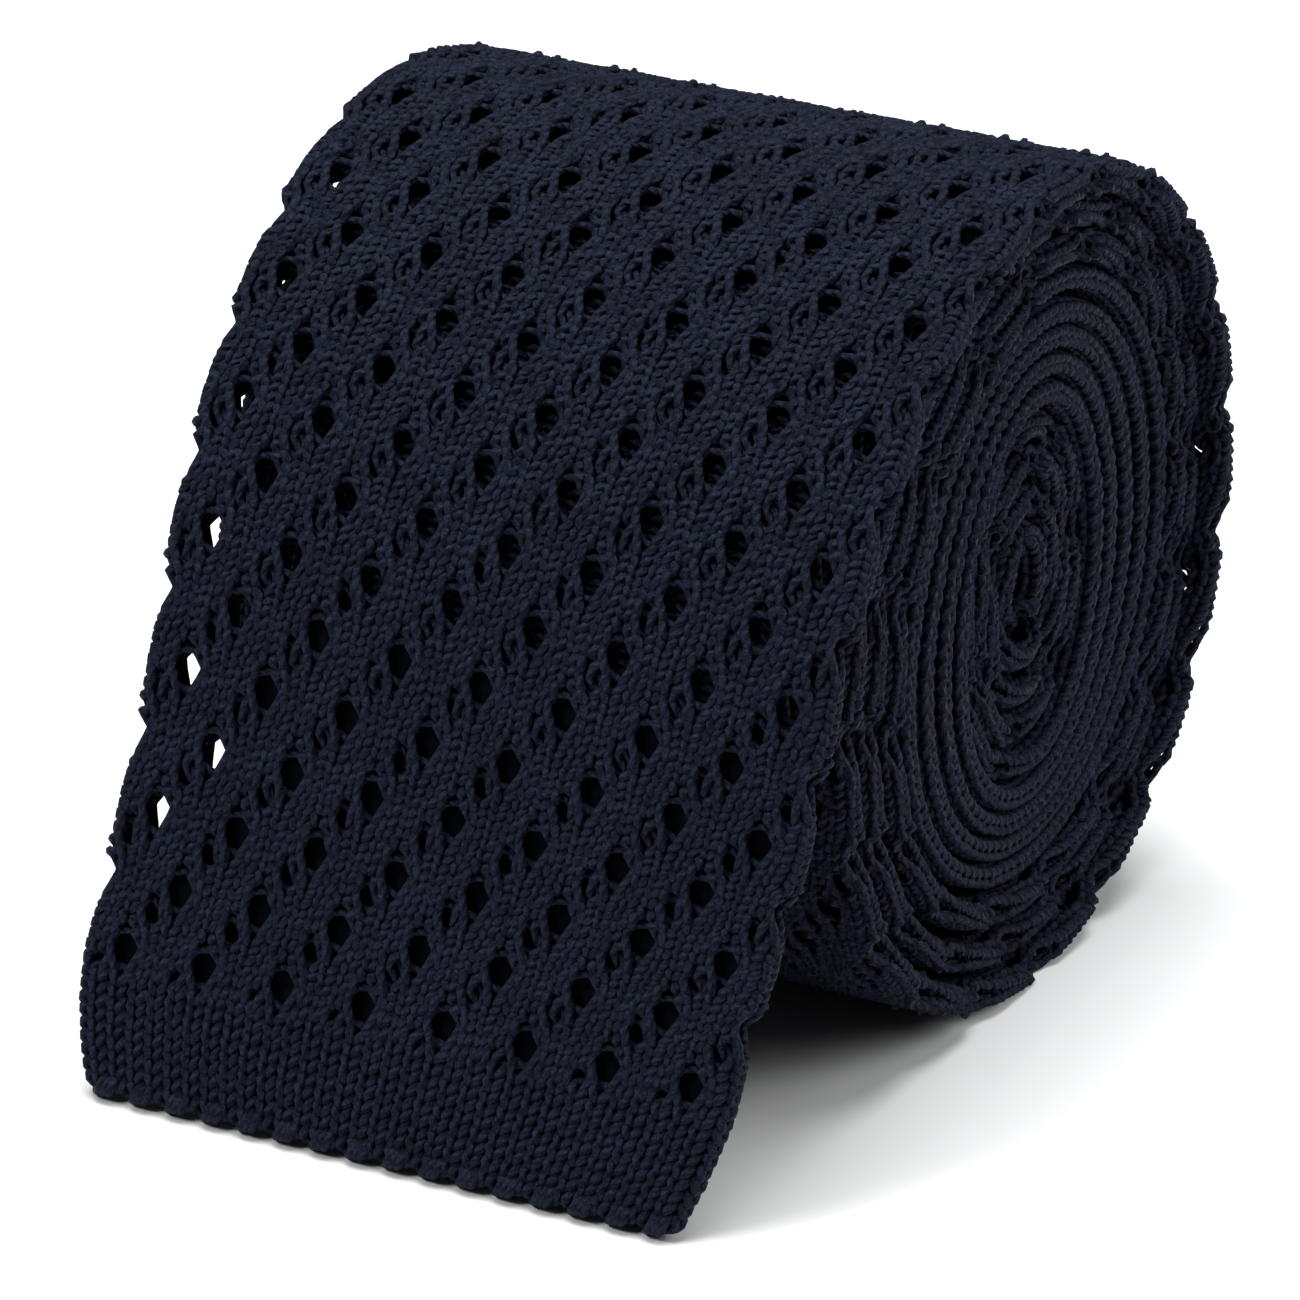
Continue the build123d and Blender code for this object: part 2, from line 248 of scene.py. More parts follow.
def mesh_piece(name, points, quads, material, uv=None):
    """A smooth mesh object from points and four-cornered faces."""
    mesh = bpy.data.meshes.new(name)
    mesh.vertices.add(len(points))
    mesh.vertices.foreach_set("co", points.astype(np.float32).ravel())
    mesh.loops.add(quads.size)
    mesh.loops.foreach_set("vertex_index", quads.astype(np.int32).ravel())
    mesh.polygons.add(len(quads))
    mesh.polygons.foreach_set("loop_start", np.arange(0, quads.size, 4, dtype=np.int32))
    mesh.polygons.foreach_set("use_smooth", np.ones(len(quads), bool))
    if uv is not None:
        mesh.uv_layers.new(name="yarn").data.foreach_set("uv", uv.astype(np.float32).ravel())
    mesh.update(calc_edges=True)
    mesh.materials.append(material)
    piece = bpy.data.objects.new(name, mesh)
    bpy.context.scene.collection.objects.link(piece)
    return piece


def yarn_tubes(name, lines, out, radius, sides, material):
    """Tubes of yarn along many lines at once: lines, and a way out that is never along them, are
    (line, point, 3) arrays. The mesh's map runs along the yarn in millimetres, and round it."""
    count, points = lines.shape[:2]
    along = np.gradient(lines, axis=1)
    across = np.cross(along, out)
    across /= np.linalg.norm(across, axis=2, keepdims=True)
    up = np.cross(across, along)
    up /= np.linalg.norm(up, axis=2, keepdims=True)
    turn = np.linspace(0, 2 * np.pi, sides, endpoint=False)[:, None]
    ring = across[:, :, None] * np.cos(turn) + up[:, :, None] * np.sin(turn)
    radius = np.broadcast_to(radius, (count, points))
    tube = lines[:, :, None] + ring * radius[:, :, None, None] * MM
    tube[..., 2] = np.maximum(tube[..., 2], 0)
    first = np.arange(count * points * sides).reshape(count, points, sides)
    after = np.roll(first, -1, axis=2)
    quads = np.stack([first[:, :-1], after[:, :-1], after[:, 1:], first[:, 1:]], -1)
    steps = np.linalg.norm(np.diff(lines, axis=1), axis=2) / MM
    reach = np.concatenate([np.zeros((count, 1)), np.cumsum(steps, 1)], 1)[:, :, None]
    reach = np.broadcast_to(reach, first.shape)
    side = np.broadcast_to(np.arange(sides) / sides, first[:, 1:].shape)
    u = np.stack([reach[:, :-1], reach[:, :-1], reach[:, 1:], reach[:, 1:]], -1)
    v = np.stack([side, side + 1 / sides, side + 1 / sides, side], -1)
    return mesh_piece(name, tube.reshape(-1, 3), quads.reshape(-1, 4), material,
                      np.stack([u, v], -1).reshape(-1, 2))


UNEVEN = 0.03
UNEVEN_COURSE = 0.05
UNEVEN_YARN = 0.05
DOUBLED_PLUMP = 0.18
FLOAT_PROUD = 0.45


def knit(name, start, end, wales, kind, material, detail=(14, 6), warp=None):
    """The courses between two places along the tie, from one wale to another, as loops of
    yarn. Detail is how many points a stitch has along its yarn, and sides round it."""
    chosen = np.flatnonzero((COURSES >= start) & (COURSES < end))
    wale = np.linspace(wales[0], wales[1], int((wales[1] - wales[0]) * detail[0]) + 1)
    before = np.floor(wale).astype(int)
    share = wale - before
    noise = (WOBBLE[:, chosen][:, :, before % WALES_ROUND] * (1 - share)
             + WOBBLE[:, chosen][:, :, (before + 1) % WALES_ROUND] * share)
    phase = 2 * np.pi * (wale - 0.5)
    run = COURSES[chosen][:, None] - kind["rise"] * np.cos(phase) + UNEVEN_COURSE * noise[0]
    place = wale + kind["lean"] * np.sin(2 * phase) - kind["tilt"] * np.cos(phase)
    place = place + UNEVEN * noise[1]
    lift = -kind["depth"] * np.cos(2 * phase) + UNEVEN * noise[2]
    plump = 1 + UNEVEN_YARN * noise[3] - kind["plump"] * np.cos(2 * phase)
    if warp:
        place, run, swell, stand = warp(place, run)
        plump = plump + DOUBLED_PLUMP * swell
        lift = lift + FLOAT_PROUD * stand
    lines = on_tube(run, place, lift)
    lines[:, 1:-1] = (lines[:, :-2] + 2 * lines[:, 1:-1] + lines[:, 2:]) / 4
    out = on_tube(run, place, lift + 0.3) - on_tube(run, place, lift)
    return yarn_tubes(name, lines, out, kind["radius"] * plump, detail[1], material)


def add(tree, kind, sockets=None, **settings):
    """A shader node, with its settings and the values of its sockets."""
    node = tree.nodes.new(kind)
    for key, value in settings.items():
        setattr(node, key, value)
    for socket, value in (sockets or {}).items():
        node.inputs[socket].default_value = value
    return node


def new_group(name, inputs, outputs):
    """A shader node group with its sockets, and its end nodes."""
    tree = bpy.data.node_groups.new(name, "ShaderNodeTree")
    for socket, value in inputs.items():
        made = tree.interface.new_socket(name=socket, in_out="INPUT", socket_type="NodeSocketFloat")
        made.default_value = value
    for socket, form in outputs.items():
        tree.interface.new_socket(name=socket, in_out="OUTPUT", socket_type="NodeSocket" + form)
    return tree, tree.nodes.new("NodeGroupInput"), tree.nodes.new("NodeGroupOutput")


def spun_yarn_group():
    """Spun yarn: the height of its twisted plies and fibres, the painted shade in the furrows between
    its plies, and its uneven dye.
    """
    tree, given, result = new_group("spun_yarn", {"Plies": 3.0, "Twist": 1.1},
                                    {"Height": "Float", "PaintedFurrowShade": "Float", "Fibre": "Float",
                                     "Dye": "Float"})
    link = tree.links.new
    place = add(tree, "ShaderNodeSeparateXYZ")
    link(add(tree, "ShaderNodeUVMap", uv_map="yarn").outputs[0], place.inputs[0])
    along = add(tree, "ShaderNodeMath", operation="MULTIPLY")
    link(place.outputs["X"], along.inputs[0])
    link(given.outputs["Twist"], along.inputs[1])
    strand = add(tree, "ShaderNodeMath", operation="MULTIPLY_ADD")
    link(place.outputs["Y"], strand.inputs[0])
    link(given.outputs["Plies"], strand.inputs[1])
    link(along.outputs[0], strand.inputs[2])
    phase = add(tree, "ShaderNodeMath", {1: 2 * np.pi}, operation="MULTIPLY")
    link(strand.outputs[0], phase.inputs[0])
    ply = add(tree, "ShaderNodeMath", operation="SINE")
    link(phase.outputs[0], ply.inputs[0])
    spot = add(tree, "ShaderNodeTexCoord")
    fibre = add(tree, "ShaderNodeTexNoise", {"Scale": 5500.0, "Detail": 3.0})
    link(spot.outputs["Object"], fibre.inputs["Vector"])
    height = add(tree, "ShaderNodeMath", {1: 0.3}, operation="MULTIPLY_ADD")
    link(ply.outputs[0], height.inputs[0])
    link(fibre.outputs["Fac"], height.inputs[2])
    link(height.outputs[0], result.inputs["Height"])
    link(fibre.outputs["Fac"], result.inputs["Fibre"])
    # Painted shade: how deep in the furrow between two plies a point lies, 1 at its bottom and 0 on
    # the plies.
    painted_furrow_shade = add(tree, "ShaderNodeMapRange", {1: -1.0, 2: 0.2, 3: 1.0, 4: 0.0})
    link(ply.outputs[0], painted_furrow_shade.inputs[0])
    link(painted_furrow_shade.outputs[0], result.inputs["PaintedFurrowShade"])
    dye = add(tree, "ShaderNodeTexNoise", {"Scale": 190.0, "Detail": 2.0})
    link(spot.outputs["Object"], dye.inputs["Vector"])
    link(dye.outputs["Fac"], result.inputs["Dye"])
    return tree


SPUN_YARN = spun_yarn_group()


def yarn(name, colour, relief=0.9):
    """Matt spun yarn: uneven dye, painted shade that darkens the furrows between its plies, and a
    bloom of loose fibre.
    """
    material = bpy.data.materials.new(name)
    material.use_nodes = True
    tree = material.node_tree
    link = tree.links.new
    surface = tree.nodes["Principled BSDF"]
    spun = add(tree, "ShaderNodeGroup", node_tree=SPUN_YARN)
    dye = add(tree, "ShaderNodeMapRange", {1: 0.3, 2: 0.7, 3: 0.8, 4: 1.2})
    link(spun.outputs["Dye"], dye.inputs[0])
    # Painted shade: the colour falls to 0.4 of itself at the bottom of the furrows between the plies.
    painted_furrow_shade = add(tree, "ShaderNodeMath", {1: -0.6, 2: 1.0}, operation="MULTIPLY_ADD")
    link(spun.outputs["PaintedFurrowShade"], painted_furrow_shade.inputs[0])
    fibre = add(tree, "ShaderNodeMapRange", {1: 0.35, 2: 0.68, 3: 0.45, 4: 2.0})
    link(spun.outputs["Fibre"], fibre.inputs[0])
    tone = add(tree, "ShaderNodeMath", operation="MULTIPLY")
    link(dye.outputs[0], tone.inputs[0])
    link(painted_furrow_shade.outputs[0], tone.inputs[1])
    level = add(tree, "ShaderNodeMath", operation="MULTIPLY")
    link(tone.outputs[0], level.inputs[0])
    link(fibre.outputs[0], level.inputs[1])
    shade = add(tree, "ShaderNodeVectorMath", {0: colour}, operation="SCALE")
    link(level.outputs[0], shade.inputs["Scale"])
    link(shade.outputs[0], surface.inputs["Base Color"])
    rough = add(tree, "ShaderNodeMapRange", {1: 0.3, 2: 0.7, 3: 0.55, 4: 0.7})
    link(spun.outputs["Dye"], rough.inputs[0])
    link(rough.outputs[0], surface.inputs["Roughness"])
    bump = add(tree, "ShaderNodeBump", {"Strength": relief, "Distance": 0.0002})
    link(spun.outputs["Height"], bump.inputs["Height"])
    link(bump.outputs[0], surface.inputs["Normal"])
    surface.inputs["Specular IOR Level"].default_value = 0.08
    surface.inputs["Sheen Weight"].default_value = 0.012
    surface.inputs["Sheen Roughness"].default_value = 0.5
    surface.inputs["Sheen Tint"].default_value = (0.45, 0.55, 0.8, 1.0)
    return material


def shade_painted_knit(name):
    """The inner side of the knit, seen deep between the yarns: loops in uneven rows, in the yarn's
    navy darkened with painted shade for the shade that falls deep inside the knit.
    """
    material = bpy.data.materials.new(name)
    material.use_nodes = True
    tree = material.node_tree
    link = tree.links.new
    surface = tree.nodes["Principled BSDF"]
    place = add(tree, "ShaderNodeTexCoord")
    loops = add(tree, "ShaderNodeTexVoronoi", {"Scale": 900.0})
    link(place.outputs["Object"], loops.inputs["Vector"])
    # Painted shade: the navy is scaled to 0.35 at the loops' middles and to 0.1 between them.
    tone = add(tree, "ShaderNodeMapRange", {1: 0.0, 2: 0.7, 3: 0.35, 4: 0.1})
    link(loops.outputs["Distance"], tone.inputs[0])
    shade = add(tree, "ShaderNodeVectorMath", {0: NAVY}, operation="SCALE")
    link(tone.outputs[0], shade.inputs["Scale"])
    link(shade.outputs[0], surface.inputs["Base Color"])
    bump = add(tree, "ShaderNodeBump", {"Strength": 0.8, "Distance": 0.0003}, invert=True)
    link(loops.outputs["Distance"], bump.inputs["Height"])
    link(bump.outputs[0], surface.inputs["Normal"])
    surface.inputs["Roughness"].default_value = 0.9
    surface.inputs["Specular IOR Level"].default_value = 0.05
    return material


SHADE_PAINTED_GROUND = shade_painted_knit("shade_painted_knit")


def flat_half(run):
    """Half the width of the flat part between the tube's two folds."""
    return width(run) / 2 - thickness(run) / 2


def ground(name, start, end, swell):
    """The knit's ground: a dark sheet of painted shade in the middle of the tube's thickness, from
    fold to fold. It swells outwards to both sides of the back seam, and fills the space between two
    turns. Over the ribbon and the label, which lie at the roll's back, it doesn't."""
    runs = np.linspace(start, end, int((end - start) / 1.5) + 2)[:, None]
    share = np.linspace(-1, 1, 17)
    across = share * flat_half(runs)
    front = ease(-0.3, 0.6, -line_at(runs)[1][..., 0])
    swell = swell * np.maximum(front, ease(neck_run + 60, neck_run + 120, runs))
    points = in_line(runs + 0 * across, across, swell * np.sin(np.pi * share) ** 2)
    first = np.arange(across.size).reshape(across.shape)
    quads = np.stack([first[:-1, :-1], first[:-1, 1:], first[1:, 1:], first[1:, :-1]], -1)
    return mesh_piece(name, points.reshape(-1, 3), quads.reshape(-1, 4), SHADE_PAINTED_GROUND)


def dress(pieces, body=None):
    """Gives pieces the body that they move with, where one is given."""
    for piece in pieces:
        if body:
            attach(piece, body)


plain_yarn = yarn("plain_yarn", NAVY)
PLAIN_KNIT = {"rise": 0.80, "lean": 0.26, "tilt": 0.05, "depth": 0.38, "radius": 0.36,
              "plump": 0.10}
SEAM_RUN = 1.15
HEM_TOP = FIRST_OPEN - PLAIN_COURSE / 2
EDGE_WALE = 19
FACE = (-EDGE_WALE, EDGE_WALE)
BACK = (EDGE_WALE, WALES_ROUND - EDGE_WALE)
COARSE = (8, 4)
hem_face = knit("wide_hem_face", 0.0, HEM_TOP, FACE, PLAIN_KNIT, plain_yarn)
hem_back = knit("wide_hem_back", 0.0, HEM_TOP, BACK, PLAIN_KNIT, plain_yarn, COARSE)
dress((hem_face, hem_back), "end_lower")
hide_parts("wide_hem_band")


# ---- The openwork of the blade: every fourth stitch a loop is carried over to its neighbour,
# which opens a tall eyelet and a small one beside it. The next row of eyelets, five courses
# further on, stands half way between them. The yarn is thinner than in the plain bands.
EYELET_ROW = 5 * OPEN_COURSE
REPEAT = 4
TALL = {"side": 0.0, "down": 0.0, "reach": (1.38, 2.03), "fade": 2.5}
SMALL = {"side": -1.85, "down": -1.95, "reach": (0.95, 1.30), "fade": 2.0}
OPEN_KNIT = {"rise": 0.82, "lean": 0.27, "tilt": 0.05, "depth": 0.42, "radius": 0.345,
             "plump": 0.12}
FIRST_EYELET = FIRST_OPEN + OPEN_KNIT["rise"] + OPEN_COURSE / 2
# Eyelets closed by the painted-shade ground: all of them in the lowest DARK_ROWS rows, and all but the
# one by the left fold up to CLOSED_ROWS.
CLOSED_ROWS = 6
DARK_ROWS = 2
DOUBLED_SIDE = 1.4
HOOD_SIDE, HOOD_DOWN = -2.8, -0.6
FLOAT_UP = 0.9
openwork_yarn = yarn("openwork_yarn", NAVY)


def lump(over, up, size):
    """How near points are to the middle of a lump: 1 there, and fading to 0 round it."""
    return np.exp(-(over / size[0]) ** 2 - (up / size[1]) ** 2)


def open_eyelets(wale, run):
    """Moves the yarn to the eyelets' rims. Gives its new places, how much it swells where
    carried loops lie double, and how far the short float above each tall eyelet stands out."""
    pitch = wale_width(run)
    swell, stand = np.zeros_like(run), np.zeros_like(run)
    for eyelet in (TALL, SMALL):
        move_x, move_y = np.zeros_like(run), np.zeros_like(run)
        here = np.round((run - FIRST_EYELET - eyelet["down"]) / EYELET_ROW)
        for row in (here - 1, here, here + 1):
            stagger = np.where(row % 2 == 0, REPEAT / 2, 0)
            column = wale - stagger - eyelet["side"] / pitch
            left = np.floor(column / REPEAT) * REPEAT
            for centre in (left, left + REPEAT):
                off_x = (column - centre) * pitch
                off_y = run - FIRST_EYELET - row * EYELET_ROW - eyelet["down"]
                far = np.hypot(off_x / eyelet["reach"][0], off_y / eyelet["reach"][1]) + 1e-6
                push = (np.hypot(far, 1) / far - 1) * np.exp(-(far / eyelet["fade"]) ** 4)
                push *= row >= 0
                move_x += off_x * push
                move_y += off_y * push
                if eyelet is TALL:
                    double = lump(off_x - DOUBLED_SIDE, off_y, (0.8, 1.8))
                    hood = lump(off_x - HOOD_SIDE, off_y - HOOD_DOWN, (0.8, 1.8))
                    swell += (double + hood) * (row >= 0)
                    stand += lump(off_x, off_y - FLOAT_UP, (0.8, 0.7)) * (row >= 0)
        wale, run = wale + move_x / pitch, run + move_y
    return wale, run, swell, stand


def openwork(name, start, end, wales=FACE, detail=(14, 6)):
    """A stretch of openwork."""
    return knit(name, start, end, wales, OPEN_KNIT, openwork_yarn, detail, open_eyelets)


def cell_line(row):
    """Where one row of eyelets ends along the tie and the next one begins."""
    return FIRST_EYELET + (row - 0.5) * EYELET_ROW


def eyelet_cell(row, column):
    """The ground round one tall eyelet, as points (run, wale): its outer edge, then its rim."""
    half_row, half_column = EYELET_ROW / 2, REPEAT / 2
    up, over = np.linspace(-1, 1, 6) * half_row, np.linspace(-1, 1, 5) * half_column
    edge = ([(-half_row, x) for x in over[:-1]] + [(y, half_column) for y in up[:-1]]
            + [(half_row, x) for x in over[:0:-1]] + [(y, -half_column) for y in up[:0:-1]])
    edge = np.array(edge)
    centre = np.array([FIRST_EYELET + row * EYELET_ROW, column])
    pitch = wale_width(centre[0])
    turn = np.arctan2(edge[:, 0] / TALL["reach"][1], edge[:, 1] * pitch / TALL["reach"][0])
    rim = np.stack([TALL["reach"][1] * np.sin(turn), TALL["reach"][0] * np.cos(turn) / pitch], -1)
    return np.concatenate([edge, rim]) + centre


def eyelet_ground(name, first_row, last_row, hem_run=None):
    """The openwork's ground, a dark sheet of painted shade, from one row of eyelets to another, open
    at the tall eyelets. The hem's part and the lowest rows are closed, so that painted shade shows in
    their eyelets, and the few rows above them are open only at the eyelet beside the left fold."""
    points, quads = [], []
    if hem_run:
        hem = np.linspace(hem_run, cell_line(first_row), 9)
        wales = np.arange(-WALES_ROUND / 4, WALES_ROUND / 4 + 1)
        grid = np.arange(len(hem) * len(wales)).reshape(len(hem), len(wales))
        points.append(np.stack(np.meshgrid(hem, wales, indexing="ij"), -1).reshape(-1, 2))
        quads += np.stack([grid[:-1, :-1], grid[:-1, 1:], grid[1:, 1:], grid[1:, :-1]],
                          -1).reshape(-1, 4).tolist()
    for row in range(first_row, last_row):
        stagger = REPEAT / 2 if row % 2 == 0 else 0.0
        columns = np.arange(-WALES_ROUND / 4 + REPEAT, WALES_ROUND / 4, REPEAT) - stagger
        columns = np.append(columns, columns[-1] + REPEAT) if stagger else columns
        for column in columns:
            cell = eyelet_cell(row, column)
            count, start = len(cell) // 2, sum(map(len, points))
            points.append(cell)
            for number in range(count):
                after = (number + 1) % count
                quads.append([start + number, start + after, start + count + after,
                              start + count + number])
            if row < CLOSED_ROWS and (row < DARK_ROWS or column > columns[0]):
                quads += [[start + count + number, start + count + number + 1,
                           start + 2 * count - number - 2, start + 2 * count - number - 1]
                          for number in range(count // 2 - 1)]
        for side in () if stagger else (-1, 1):
            inner, outer = side * (WALES_ROUND / 4 - REPEAT / 2), side * WALES_ROUND / 4
            for run in np.linspace(cell_line(row), cell_line(row + 1), 6)[:-1]:
                start, step = sum(map(len, points)), EYELET_ROW / 5
                points.append(np.array([(run, inner), (run, outer), (run + step, outer),
                                        (run + step, inner)]))
                quads.append([start, start + 1, start + 2, start + 3])
    run, wale = np.concatenate(points).T
    across = np.clip(wale * wale_width(run), -flat_half(run), flat_half(run))
    place = in_line(run, across, 0 * run)
    place, index = np.unique(np.round(place, 7), axis=0, return_inverse=True)
    return mesh_piece(name, place, index.reshape(-1)[np.array(quads)], SHADE_PAINTED_GROUND)


# The rows of eyelets where each stretch of the hanging end begins, and where the roll begins.
CURL_ROW, UPPER_ROW, LIFT_ROW, ROLL_ROW = 3, 7, 11, 16


def bend(pieces):
    """Bakes the pieces' placing into their meshes."""
    for piece in pieces:
        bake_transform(piece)


def hanging_stretch(name, rows):
    """One stretch of the hanging end: its face, its back layer and its ground."""
    start, end = cell_line(rows[0]), cell_line(rows[1])
    first = HEM_TOP if rows[0] == 0 else start
    face = openwork(f"{name}_face", first, end)
    back = openwork(f"{name}_back", first, end, BACK, COARSE)
    hem = rows[0] == 0
    strip = eyelet_ground(f"{name}_ground", *rows, SEAM_RUN if hem else None)
    dress((face, back, strip))
    return face, back, strip


lower = hanging_stretch("lower", (0, CURL_ROW))
curl = hanging_stretch("curl", (CURL_ROW, UPPER_ROW))
upper = hanging_stretch("upper", (UPPER_ROW, LIFT_ROW))
lift = hanging_stretch("lift", (LIFT_ROW, ROLL_ROW))
for piece in lower:
    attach(piece, "end_lower")
for piece in upper:
    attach(piece, "end_upper")
bend(curl)
bend(lift)
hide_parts("wide_end_lower")
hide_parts("wide_end_upper")


# ---- The roll's outer turn: the same openwork, wound face outwards round the turns inside it.
# It is rolled by hand and only its own stiffness and the weight on it hold it closed.
TURN_ROWS = 6
row = ROLL_ROW
while cell_line(row) < second_turn_run + 8.0:
    start, end = cell_line(row), cell_line(row + TURN_ROWS)
    face = openwork(f"outer_turn_face_{row}", start, end, FACE, (12, 6))
    back = openwork(f"outer_turn_back_{row}", start, end, BACK, (7, 4))
    strip = eyelet_ground(f"outer_turn_ground_{row}", row, row + TURN_ROWS)
    dress((face, back, strip), "roll")
    row += TURN_ROWS
outer_end = cell_line(row)
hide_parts("blade_turns")


# ---- The blade's inner turns: the same openwork again. Only its folded edges show, at the two
# ends of the roll.
EDGE_REACH = 4
EDGE_DETAIL = (10, 5)
FOLD = WALES_ROUND / 4
SWELL = 2.4


def wound_edges(name, start, end, count, kind, material, warp=None):
    """The folded edges of a wound stretch at both ends of the roll, in a few lengths."""
    made = []
    cuts = np.linspace(start, end, count + 1)
    for number in range(count):
        for side, middle in (("right", FOLD), ("left", -FOLD)):
            made.append(knit(f"{name}_{side}_{number + 1}", cuts[number], cuts[number + 1],
                             (middle - EDGE_REACH, middle + EDGE_REACH), kind, material,
                             EDGE_DETAIL, warp))
    dress(made, "roll")
    return made


def wound_ground(name, start, end):
    """The ground of a wound stretch: a sheet of painted shade, which moves with the roll."""
    strip = ground(name, start, end, SWELL)
    dress([strip], "roll")


inner_turns = wound_edges("inner_turns", outer_end, neck_run, 3, OPEN_KNIT, openwork_yarn,
                          open_eyelets)
wound_ground("inner_turns_ground", outer_end, neck_run)


# ---- The neck band: fine plain knit, narrower and thinner, that lies under the collar. It is
# knitted of the same yarn with smaller, tighter stitches.
NECK_KNIT = {"rise": 1.0, "lean": 0.27, "tilt": 0.05, "depth": 0.20, "radius": 0.41,
             "plump": 0.10}
neck_turns = wound_edges("neck_turns", neck_run, tail_run, 4, NECK_KNIT, plain_yarn)
wound_ground("neck_turns_ground", neck_run, tail_run)
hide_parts("neck_band")


# ---- The tail: openwork again, narrower than the blade, wound first and tightest. It ends in
# its own plain hem band, which bends round the hollow at the core.
TAIL_END = 1.5
tail_turns = wound_edges("tail_turns", tail_run, core_run, 2, OPEN_KNIT, openwork_yarn,
                         open_eyelets)
tail_hem = wound_edges("tail_hem", core_run, tie_length - TAIL_END, 1, PLAIN_KNIT, plain_yarn)
wound_ground("tail_ground", tail_run, tie_length - TAIL_END)
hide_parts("tail_turns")
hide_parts("tail_hem_band")


# ---- The closing seams: doubled yarn whipped over the open end of the tube, a stitch to every
# second wale, which draws the hem in and gives it a scalloped edge. The tail has one as well.
seam_yarn = yarn("seam_yarn", NAVY, 1.0)
WHIP_PITCH = 2 * hem_width / (WALES_ROUND / 2)
WHIP_RADIUS = 0.42
STRAND_GAP = 0.45
WHIP_SWAY = 0.45


def whip_seam(name, run, across, height, depth):
    """Three yarns that wind together over the end of the tube, from one fold to the other."""
    turns = across / WHIP_PITCH
    turn = np.linspace(0, turns, int(turns * 26))
    lines = []
    for strand in (-STRAND_GAP, 0.0, STRAND_GAP):
        angle = 2 * np.pi * turn
        x = -across / 2 + WHIP_PITCH * turn + strand + WHIP_SWAY * np.sin(angle + 0.6)
        lines.append(in_line(run - height * np.cos(angle), x, depth * np.sin(angle)))
    lines = np.array(lines)
    middle = in_line(run + 0 * turn, -across / 2 + WHIP_PITCH * turn, 0 * turn)
    return yarn_tubes(name, lines, lines - middle, WHIP_RADIUS, 8, seam_yarn)


hem_seam = whip_seam("wide_hem_seam", SEAM_RUN, hem_width - 1.6, 0.70, 1.15)
tail_seam = whip_seam("tail_hem_seam", tie_length - 1.2, tail_width - 1.6, 0.7, 1.0)
dress([hem_seam], "end_lower")
dress([tail_seam], "roll")
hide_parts("wide_closing_seam")
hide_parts("tail_closing_seam")


# ---- The back seam: a linked chain of seam yarn along the middle of the tie's back, on the
# inside of every turn.
CHAIN_PITCH = 2.08
CHAIN_SWAY = 0.62
CHAIN_PROUD = 0.55
CHAIN_RADIUS = 0.30


def back_chain(name, start, end):
    """A chain of links that lie over each other, from one place along the tie to another."""
    links = (end - start) / CHAIN_PITCH
    link = np.linspace(0, links, int(links * 14))
    angle = 2 * np.pi * link
    run = start + CHAIN_PITCH * link + 0.5 * np.sin(2 * angle)
    above = -thickness(run) / 4 - CHAIN_PROUD - 0.16 * np.cos(2 * angle)
    lines = in_line(run, CHAIN_SWAY * np.sin(angle), above)
    out = in_line(run, CHAIN_SWAY * np.sin(angle), above - 0.3) - lines
    return yarn_tubes(name, lines[None], out[None], CHAIN_RADIUS, 5, seam_yarn)


lower_seam = back_chain("lower_seam_chain", SEAM_RUN + 1.5, cell_line(CURL_ROW))
curl_seam = back_chain("curl_seam_chain", cell_line(CURL_ROW), cell_line(UPPER_ROW))
upper_seam = back_chain("upper_seam_chain", cell_line(UPPER_ROW), cell_line(LIFT_ROW))
lift_seam = back_chain("lift_seam_chain", cell_line(LIFT_ROW), cell_line(ROLL_ROW))
roll_seam = back_chain("roll_seam_chain", cell_line(ROLL_ROW), core_run)
dress([lower_seam], "end_lower")
dress([upper_seam], "end_upper")
dress([roll_seam], "roll")
dress([curl_seam, lift_seam])
bend([curl_seam])
bend([lift_seam])
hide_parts("lower_back_seam")
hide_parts("upper_back_seam")
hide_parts("roll_back_seam")


# ---- The keeper loop: a woven ribbon across the blade's back inside the outer turn, which
# holds the tail when the tie is worn. Both of its ends are tacked down with thread.
def woven(name, colour, ribs, gloss):
    """Narrow woven goods: ribs across the weave, threads along it, and a soft gloss."""
    material = bpy.data.materials.new(name)
    material.use_nodes = True
    tree = material.node_tree
    link = tree.links.new
    surface = tree.nodes["Principled BSDF"]
    place = add(tree, "ShaderNodeTexCoord")
    rib = add(tree, "ShaderNodeTexWave", {"Scale": ribs, "Distortion": 0.4, "Detail": 1.0},
              bands_direction="X")
    thread = add(tree, "ShaderNodeTexWave", {"Scale": 3 * ribs, "Distortion": 0.6},
                 bands_direction="Z")
    link(place.outputs["Object"], rib.inputs["Vector"])
    link(place.outputs["Object"], thread.inputs["Vector"])
    height = add(tree, "ShaderNodeMath", {1: 0.4}, operation="MULTIPLY_ADD")
    link(thread.outputs["Fac"], height.inputs[0])
    link(rib.outputs["Fac"], height.inputs[2])
    tone = add(tree, "ShaderNodeMapRange", {1: 0.0, 2: 1.4, 3: 0.75, 4: 1.1})
    link(height.outputs[0], tone.inputs[0])
    shade = add(tree, "ShaderNodeVectorMath", {0: colour}, operation="SCALE")
    link(tone.outputs[0], shade.inputs["Scale"])
    link(shade.outputs[0], surface.inputs["Base Color"])
    bump = add(tree, "ShaderNodeBump", {"Strength": 0.5, "Distance": 0.0001})
    link(height.outputs[0], bump.inputs["Height"])
    link(bump.outputs[0], surface.inputs["Normal"])
    surface.inputs["Roughness"].default_value = gloss
    return material


CORNER_ROUNDING = 0.12


